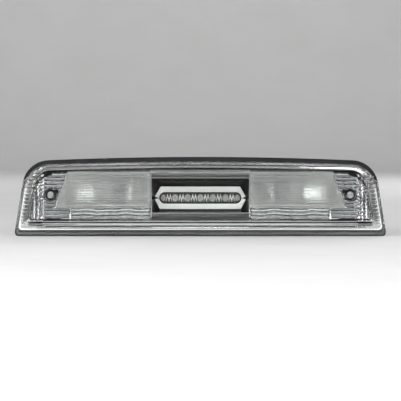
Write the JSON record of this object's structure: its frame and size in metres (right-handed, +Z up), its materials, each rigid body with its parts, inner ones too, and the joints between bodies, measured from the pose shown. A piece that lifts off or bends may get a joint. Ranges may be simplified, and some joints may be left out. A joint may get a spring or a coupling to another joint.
{
  "type": "third brake light",
  "caption": "Clear cab-mounted high brake light: LED bar in a hexagonal bezel between two chromed cargo lamps, with a black housing and gasket.",
  "frame": {"origin": "on the cab panel that the gasket's rear face meets, midway between the axes of the mounting screws", "axes": "+X to the lamp's right as seen from behind the vehicle, +Z up, +Y into the cab; the lens faces -Y"},
  "size_m": [0.446, 0.0699, 0.0949],
  "materials": {
    "gasket_foam": "closed-cell foam, matt black",
    "housing_plastic": "moulded black, fine grain",
    "sealant": "pale silicone bead",
    "clear_lens": "clear polycarbonate, polished",
    "clear_optic": "clear acrylic, polished",
    "reflector_chrome": "bright vacuum metallised plastic",
    "smoked_chrome": "dark metallised plastic",
    "satin_silver": "satin silver",
    "board_mask": "dark solder mask",
    "led_emitter": "white package, clear window",
    "chip_black": "moulded epoxy",
    "connector_plastic": "moulded nylon, dark grey",
    "holder_plastic": "moulded nylon, grey",
    "contact_brass": "tinned edge, bright",
    "wire_red": "insulated wire",
    "wire_black": "insulated wire",
    "seal_rubber": "moulded rubber",
    "screw_steel": "zinc plated",
    "bulb_glass": "clear",
    "filament_wire": "drawn wire"
  },
  "bodies": {
    "lamp": {"gasket": "gasket_foam", "housing": "housing_plastic", "lens_seal": "sealant", "outer_lens": "clear_lens", "brake_surround": "smoked_chrome", "brake_bezel": "satin_silver", "brake_optic": "clear_optic", "brake_led_board": "board_mask", "brake_led_1": "led_emitter", "brake_led_2": "led_emitter", "brake_led_3": "led_emitter", "brake_led_4": "led_emitter", "brake_led_5": "led_emitter", "brake_led_6": "led_emitter", "brake_led_7": "led_emitter", "brake_regulator": "chip_black", "brake_diode": "chip_black", "brake_inlet": "connector_plastic", "inlet_blade_left": "contact_brass", "inlet_blade_right": "contact_brass", "lead_red": "wire_red", "lead_black": "wire_black", "reflector_left": "reflector_chrome", "cargo_lens_left": "clear_optic", "vent_cap_left": "seal_rubber", "reflector_screw_left_inner": "screw_steel", "reflector_screw_left_outer": "screw_steel", "board_screw_left": "screw_steel", "well_seal_left": "seal_rubber", "mounting_screw_left": "screw_steel", "reflector_right": "reflector_chrome", "cargo_lens_right": "clear_optic", "vent_cap_right": "seal_rubber", "reflector_screw_right_inner": "screw_steel", "reflector_screw_right_outer": "screw_steel", "board_screw_right": "screw_steel", "well_seal_right": "seal_rubber", "mounting_screw_right": "screw_steel"},
    "bulb_holder_left_body": {"bulb_holder_left": "holder_plastic", "holder_seal_left": "seal_rubber", "cargo_bulb_left": "bulb_glass", "filament_left": "filament_wire", "contact_left_a": "contact_brass", "contact_left_b": "contact_brass"},
    "bulb_holder_right_body": {"bulb_holder_right": "holder_plastic", "holder_seal_right": "seal_rubber", "cargo_bulb_right": "bulb_glass", "filament_right": "filament_wire", "contact_right_a": "contact_brass", "contact_right_b": "contact_brass"}
  },
  "joints": [
    {"name": "bulb_holder_left_turn", "type": "hinge", "parent": "lamp", "child": "bulb_holder_left_body", "pos_m": [-0.097, 0.012, 0.003], "axis": [0, 1, 0], "range_deg": [0, 45]},
    {"name": "bulb_holder_right_turn", "type": "hinge", "parent": "lamp", "child": "bulb_holder_right_body", "pos_m": [0.097, 0.012, 0.003], "axis": [0, 1, 0], "range_deg": [0, 45]}
  ]
}
